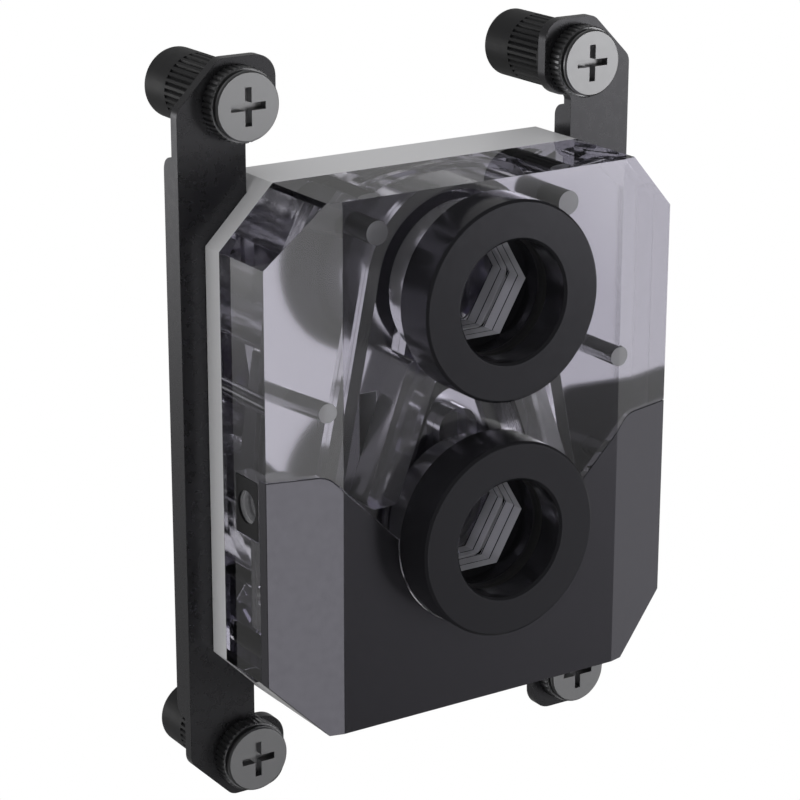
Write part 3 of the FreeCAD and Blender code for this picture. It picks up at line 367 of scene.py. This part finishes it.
def finish_material(
    name,
    colour,
    metallic,
    roughness,
    spread=GRAIN_SPREAD,
    scale=GRAIN_SCALE,
    bump=GRAIN_BUMP,
    specular=PLAIN_SPECULAR,
):
    """A solid finish with its own grain."""
    material, tree, shader = new_material(name)
    shader.inputs["Base Color"].default_value = (*colour, 1.0)
    shader.inputs["Metallic"].default_value = metallic
    shader.inputs["Specular IOR Level"].default_value = specular
    grain = place_group(tree, GRAIN, Scale=scale, Roughness=roughness, Spread=spread)
    tree.links.new(grain["Roughness"], shader.inputs["Roughness"])
    add_relief(tree, shader, grain["Height"], bump)
    return material


def clear_material(name, roughness):
    """Clear acrylic that lets light through into its shadow and darkens a little with depth."""
    material, tree, shader = new_material(name)
    nodes, links = tree.nodes, tree.links
    shader.inputs["Base Color"].default_value = (*ACRYLIC_COLOUR, 1.0)
    shader.inputs["Roughness"].default_value = roughness
    shader.inputs["IOR"].default_value = ACRYLIC_IOR
    shader.inputs["Transmission Weight"].default_value = 1.0
    path = nodes.new("ShaderNodeLightPath")
    open_way = nodes.new("ShaderNodeBsdfTransparent")
    open_way.inputs["Color"].default_value = (*ACRYLIC_SHADOW, 1.0)
    mix = nodes.new("ShaderNodeMixShader")
    links.new(path.outputs["Is Shadow Ray"], mix.inputs[0])
    links.new(shader.outputs[0], mix.inputs[1])
    links.new(open_way.outputs[0], mix.inputs[2])
    links.new(mix.outputs[0], nodes["Material Output"].inputs["Surface"])
    depth = nodes.new("ShaderNodeVolumeAbsorption")
    depth.inputs["Color"].default_value = (*SMOKE_COLOUR, 1.0)
    depth.inputs["Density"].default_value = SMOKE
    links.new(depth.outputs[0], nodes["Material Output"].inputs["Volume"])
    return material


def milled_material():
    """Clear acrylic with the marks of a milling cutter and a little white of its own."""
    material = clear_material("milled acrylic", MILLED_ROUGHNESS)
    tree = material.node_tree
    shader = tree.nodes["Principled BSDF"]
    shader.inputs["Transmission Weight"].default_value = MILLED_CLEARNESS
    marks = place_group(tree, MARKS)
    add_relief(tree, shader, marks["Height"], MARKS_BUMP)
    return material


def key_and_painted_light_material():
    """Pale metal with dark lines round the bore; its near-white colour and large matte share are
    partly painted light, so that the deep bore looks lit.
    """
    material = finish_material("key faces with painted light", (0.88, 0.88, 0.92), 0.45, 0.1, bump=0.0)
    tree = material.node_tree
    shader = tree.nodes["Principled BSDF"]
    rings = place_group(tree, RINGS, Pitch=RING_PITCH, Width=RING_WIDTH)
    blend = tree.nodes.new("ShaderNodeMix")
    blend.data_type = "RGBA"
    plain, dark = COLOURS
    blend.inputs[plain].default_value = shader.inputs["Base Color"].default_value
    blend.inputs[dark].default_value = (*RING_COLOUR, 1.0)
    tree.links.new(rings["Line"], blend.inputs[FACTOR])
    tree.links.new(blend.outputs[COLOUR_RESULT], shader.inputs["Base Color"])
    return material


CLEAR = clear_material("polished acrylic", 0.0)
MILLED = milled_material()
COVER = finish_material("satin dark cover", (0.072, 0.070, 0.080), 0.9, 0.23)
COLLAR = finish_material("dark collar", (0.040, 0.0394, 0.045), 0.75, 0.18)
# the collars' deep key faces: pale metal whose near-white colour is partly painted light
KEY_AND_PAINTED_LIGHT = key_and_painted_light_material()
SEAL = finish_material("black rubber", (0.012, 0.012, 0.012), 0.0, 0.6)
INSERT = finish_material("black flow insert", (0.03, 0.03, 0.03), 0.0, 0.5)
JET = finish_material("jet plate steel", (0.55, 0.55, 0.55), 1.0, 0.3)
PLATE = finish_material("plated cold plate", (0.75, 0.74, 0.75), 1.0, 0.3)
REAR = finish_material(
    "blasted silver rear layer",
    (0.69, 0.69, 0.705),
    0.28,
    0.34,
    spread=0.03,
    bump=0.0,
)
REAR_FACE = finish_material(
    "lapped face of the rear layer",
    (0.73, 0.715, 0.775),
    0.95,
    0.13,
    spread=0.02,
    scale=150.0,
    bump=0.0,
)
BRACKET = finish_material("satin black bracket", (0.062, 0.0614, 0.0655), 0.95, 0.28)
THUMB = finish_material("darkened steel", (0.31, 0.31, 0.318), 1.0, 0.34, spread=0.05)
STANDOFF = finish_material("black plated stand-off", (0.012, 0.012, 0.013), 0.0, 0.45, specular=0.25)
# black washers: their black is partly painted shade, the contact shade round the heads
WASHER_AND_SHADE = finish_material("black washer with painted contact shade", (0.015, 0.015, 0.015), 0.0, 0.5)
DARK_SCREW = finish_material("blackened screw", (0.10, 0.10, 0.11), 1.0, 0.3)
BRIGHT_SCREW = finish_material("bright screw", (0.55, 0.55, 0.56), 1.0, 0.22)
SCREW_SHANK = finish_material(
    "screw threads in their holes",
    (0.008, 0.008, 0.010),
    0.0,
    0.5,
    specular=0.1,
)
SCREW_TIP = finish_material("screw tips in their holes", (0.40, 0.40, 0.42), 0.5, 0.3)
BRIGHT_SHANK = finish_material("bright screw threads in their holes", (0.30, 0.30, 0.31), 1.0, 0.15)
SOCKET = finish_material("black socket block", (0.008, 0.008, 0.009), 0.0, 0.4, specular=0.2)
SOCKET_THREAD = finish_material("bright socket thread", (0.60, 0.60, 0.62), 0.6, 0.2, bump=0.0)

# node: finish, material slot, width of its broken edges in millimetres (0 shows the CAD node itself)
PIECES = {
    "front_body": (CLEAR, "clear", 0.12),
    "rear_body": (REAR, "rear_layer", 0.12),
    "front_cover": (COVER, "cover", 0.12),
    "upper_port_collar": (COLLAR, "collar", 0.12),
    "lower_port_collar": (COLLAR, "collar", 0.12),
    "upper_tube_seal": (SEAL, "seal", 0.0),
    "lower_tube_seal": (SEAL, "seal", 0.0),
    "upper_face_seal": (SEAL, "seal", 0.0),
    "lower_face_seal": (SEAL, "seal", 0.0),
    "side_socket": (SOCKET, "socket", 0.08),
    "layer_seal": (SEAL, "seal", 0.0),
    "inlet_seal": (SEAL, "seal", 0.0),
    "main_seal": (SEAL, "seal", 0.0),
    "flow_insert": (INSERT, "insert", 0.0),
    "jet_plate": (JET, "jet", 0.0),
    "cold_plate": (PLATE, "plate", 0.0),
    "left_bracket": (BRACKET, "bracket", 0.15),
    "right_bracket": (BRACKET, "bracket", 0.15),
    "thumbscrew_top_left": (THUMB, "thumbscrew", 0.06),
    "thumbscrew_top_right": (THUMB, "thumbscrew", 0.06),
    "thumbscrew_bottom_left": (THUMB, "thumbscrew", 0.06),
    "thumbscrew_bottom_right": (THUMB, "thumbscrew", 0.06),
    "standoff_top_left": (STANDOFF, "standoff", 0.06),
    "standoff_top_right": (STANDOFF, "standoff", 0.06),
    "standoff_bottom_left": (STANDOFF, "standoff", 0.06),
    "standoff_bottom_right": (STANDOFF, "standoff", 0.06),
    "standoff_washers": (WASHER_AND_SHADE, "washer", 0.0),
    "long_plate_screws": (DARK_SCREW, "dark_screw", 0.0),
    "short_plate_screws": (BRIGHT_SCREW, "bright_screw", 0.0),
    "bracket_screws": (DARK_SCREW, "dark_screw", 0.0),
}


def reach_of(points, axis):
    """The lowest and highest place of some points along an axis: 0 across, 1 to the back, 2 up."""
    places = [point[axis] for point in points]
    return min(places), max(places)


def corners_of(piece):
    """The places of a mesh's corners."""
    return [corner.co for corner in piece.data.vertices]


def screw_axes(node):
    """The four places, across and up, where a set of screws stands, and their radius."""
    points = corners_of(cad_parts[node])
    front, _ = reach_of(points, 1)
    ends = [point for point in points if point.y < front + SCREW_END]
    axes = []
    for side in (1, -1):
        for level in (1, -1):
            end = [point for point in ends if point.x * side > 0 and point.z * level > 0]
            left, right = reach_of(end, 0)
            low, high = reach_of(end, 2)
            axes.append((((left + right) / 2, (low + high) / 2), (right - left) / 2))
    return axes


def near_screw(centre, axes):
    """Whether a face with this centre belongs to a screw hole's wall or end."""
    return any(
        math.hypot(centre.x - x, centre.z - z) < radius + SCREW_SPARE
        for (x, z), radius in axes
    )


def inside_body(centre, front, back):
    """Whether a face lies deeper than the outer skin of the front layer."""
    across = abs(centre.x)
    middle = (BODY_TOP + BODY_BOTTOM) / 2
    upward = abs(centre.z - middle)
    corner = BODY_HALF + (BODY_TOP - middle) - CORNER_CUT - across - upward
    slope = max(0.0, across - PANEL_HALF) * BEVEL_DEPTH / (BODY_HALF - PANEL_HALF)
    cover = COVER_DEPTH if centre.z < 0 else 0.0
    return (
        across < BODY_HALF - SKIN
        and upward < BODY_TOP - middle - SKIN
        and corner > SKIN * math.sqrt(2)
        and front + slope + cover + SKIN < centre.y < back - SKIN
    )


def give_finishes(piece, *materials):
    """The piece's finishes: its faces start with the first."""
    for material in materials:
        piece.data.materials.append(material)


def finish_face(piece, face, material):
    """One of the piece's finishes goes on this face."""
    face.material_index = piece.data.materials.find(material.name)


def finish_front_body(piece):
    """Polished outside, milled channels, and dark and bright screws in their holes."""
    give_finishes(piece, CLEAR, MILLED, SCREW_SHANK, BRIGHT_SHANK, SCREW_TIP)
    front, back = reach_of(corners_of(piece), 1)
    screws = (
        (screw_axes("long_plate_screws"), SCREW_SHANK),
        (screw_axes("short_plate_screws"), BRIGHT_SHANK),
    )
    for face in piece.data.polygons:
        if not inside_body(face.center, front, back):
            continue
        finish_face(piece, face, MILLED)
        for axes, shank in screws:
            if near_screw(face.center, axes):
                finish_face(piece, face, SCREW_TIP if abs(face.normal.y) > FACING else shank)


def finish_rear_body(piece):
    """Blasted sides and a lapped face behind the clear layer."""
    give_finishes(piece, REAR, REAR_FACE)
    front, _ = reach_of(corners_of(piece), 1)
    for face in piece.data.polygons:
        if face.normal.y < -FACING and face.center.y < front + SKIN:
            finish_face(piece, face, REAR_FACE)


def finish_socket(piece):
    """A black block with a bright thread in its bore."""
    give_finishes(piece, SOCKET, SOCKET_THREAD)
    points = corners_of(piece)
    outer, _ = reach_of(points, 0)
    deep = sum(reach_of(points, 1)) / 2
    high = sum(reach_of(points, 2)) / 2
    for face in piece.data.polygons:
        reach = math.hypot(face.center.y - deep, face.center.z - high)
        if reach < SOCKET_REACH and face.center.x > outer + SKIN:
            finish_face(piece, face, SOCKET_THREAD)


def finish_collar(piece):
    """Dark outside, with pale key faces deep in the bore whose near-white colour is partly painted
    light.
    """
    split_faces(piece)
    give_finishes(piece, COLLAR, KEY_AND_PAINTED_LIGHT)
    points = corners_of(piece)
    front, _ = reach_of(points, 1)
    middle = sum(reach_of(points, 2)) / 2
    for face in piece.data.polygons:
        reach = math.hypot(face.center.x, face.center.z - middle)
        if reach < KEY_REACH and face.center.y > front + KEY_START:
            finish_face(piece, face, KEY_AND_PAINTED_LIGHT)


FACETED = ("front_body", "front_cover")
OWN_FACES = {
    "front_body": finish_front_body,
    "rear_body": finish_rear_body,
    "upper_port_collar": finish_collar,
    "lower_port_collar": finish_collar,
    "side_socket": finish_socket,
}


def finish_piece(node, material, edge):
    """A clean copy of a CAD node, with its finishes and its broken edges."""
    piece = merged_copy(node, f"{node}_finished")
    if node in FACETED:
        break_creases(piece, edge)
    if material is CLEAR:
        draw_in(piece, AIR_GAP)
    if node in OWN_FACES:
        OWN_FACES[node](piece)
    else:
        give_finishes(piece, material)
    soften(piece, edge)
    seat(piece, node)


for node, (material, slot, edge) in PIECES.items():
    if edge > 0:
        finish_piece(node, material, edge * MM)
    else:
        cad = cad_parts[node]
        cad.data.materials.clear()
        cad.data.materials.append(material)


def add_glow(tree, place, direction, inner, outer, strength):
    """The strength of one soft box in the direction that a ray takes."""
    aim = tree.nodes.new("ShaderNodeVectorMath")
    aim.operation = "DOT_PRODUCT"
    aim.inputs[1].default_value = Vector(direction).normalized()
    tree.links.new(place, aim.inputs[0])
    glow = tree.nodes.new("ShaderNodeMapRange")
    glow.interpolation_type = "SMOOTHSTEP"
    glow.inputs["From Min"].default_value = math.cos(math.radians(outer))
    glow.inputs["From Max"].default_value = math.cos(math.radians(inner))
    glow.inputs["To Max"].default_value = strength
    tree.links.new(aim.outputs["Value"], glow.inputs["Value"])
    return glow.outputs["Result"]


def build_world():
    """White to the camera; metal and glass see a pale backdrop and soft boxes in a dim room."""
    world = bpy.data.worlds.new("studio")
    bpy.context.scene.world = world
    world.use_nodes = True
    tree = world.node_tree
    tree.nodes.clear()
    place = tree.nodes.new("ShaderNodeTexCoord").outputs["Generated"]
    studio = SURROUND
    for box in SOFT_BOXES:
        studio = add_math(tree, "ADD", add_glow(tree, place, *box), studio)
    rays = tree.nodes.new("ShaderNodeLightPath").outputs
    share = add_choice(tree, rays["Is Transmission Ray"], BACKDROP_IN_METAL, BACKDROP_IN_GLASS)
    backdrop = add_math(tree, "MULTIPLY_ADD", add_glow(tree, place, *BACKDROP), share, studio)
    mirrored = add_math(tree, "MAXIMUM", rays["Is Glossy Ray"], rays["Is Transmission Ray"])
    unseen = add_choice(tree, mirrored, PLAIN_LEVEL, backdrop)
    background = tree.nodes.new("ShaderNodeBackground")
    background.inputs["Color"].default_value = (1.0, 1.0, 1.0, 1.0)
    feed(tree, background.inputs["Strength"], add_choice(tree, rays["Is Camera Ray"], unseen, WHITE))
    leave = tree.nodes.new("ShaderNodeOutputWorld")
    tree.links.new(background.outputs[0], leave.inputs["Surface"])


def build_floor():
    """A pale floor below the block, plain white to the camera and a little darker through glass."""
    bpy.ops.mesh.primitive_plane_add(size=FLOOR_SIZE, location=(0, 0, FLOOR_LEVEL))
    floor = bpy.context.object
    floor.name = "floor"
    material, tree, shader = new_material("pale floor")
    shader.inputs["Base Color"].default_value = (*FLOOR_COLOUR, 1.0)
    shader.inputs["Roughness"].default_value = FLOOR_ROUGHNESS
    rays = tree.nodes.new("ShaderNodeLightPath").outputs
    glow = tree.nodes.new("ShaderNodeEmission")
    feed(tree, glow.inputs["Strength"], add_choice(tree, rays["Is Camera Ray"], FLOOR_IN_GLASS, WHITE))
    seen = add_math(tree, "MAXIMUM", rays["Is Camera Ray"], rays["Is Transmission Ray"])
    mix = tree.nodes.new("ShaderNodeMixShader")
    tree.links.new(seen, mix.inputs[0])
    tree.links.new(shader.outputs[0], mix.inputs[1])
    tree.links.new(glow.outputs[0], mix.inputs[2])
    tree.links.new(mix.outputs[0], tree.nodes["Material Output"].inputs["Surface"])
    floor.data.materials.append(material)
    floor.visible_glossy = False


def build_camera():
    """The photograph's viewpoint."""
    data = bpy.data.cameras.new("camera")
    data.lens = LENS
    data.sensor_width = SENSOR
    camera = bpy.data.objects.new("camera", data)
    bpy.context.scene.collection.objects.link(camera)
    turn = Matrix((CAMERA_RIGHT, CAMERA_UP, -CAMERA_AHEAD)).transposed().to_4x4()
    camera.matrix_world = Matrix.Translation(CAMERA_PLACE) @ turn
    bpy.context.scene.camera = camera


def set_light_paths():
    """Enough bounces for light to cross the clear layer several times."""
    cycles = bpy.context.scene.cycles
    cycles.max_bounces = CLEAR_BOUNCES
    cycles.transmission_bounces = CLEAR_BOUNCES
    cycles.glossy_bounces = GLOSSY_BOUNCES


build_world()
build_floor()
build_camera()
set_light_paths()
bpy.context.scene.view_settings.view_transform = "Standard"
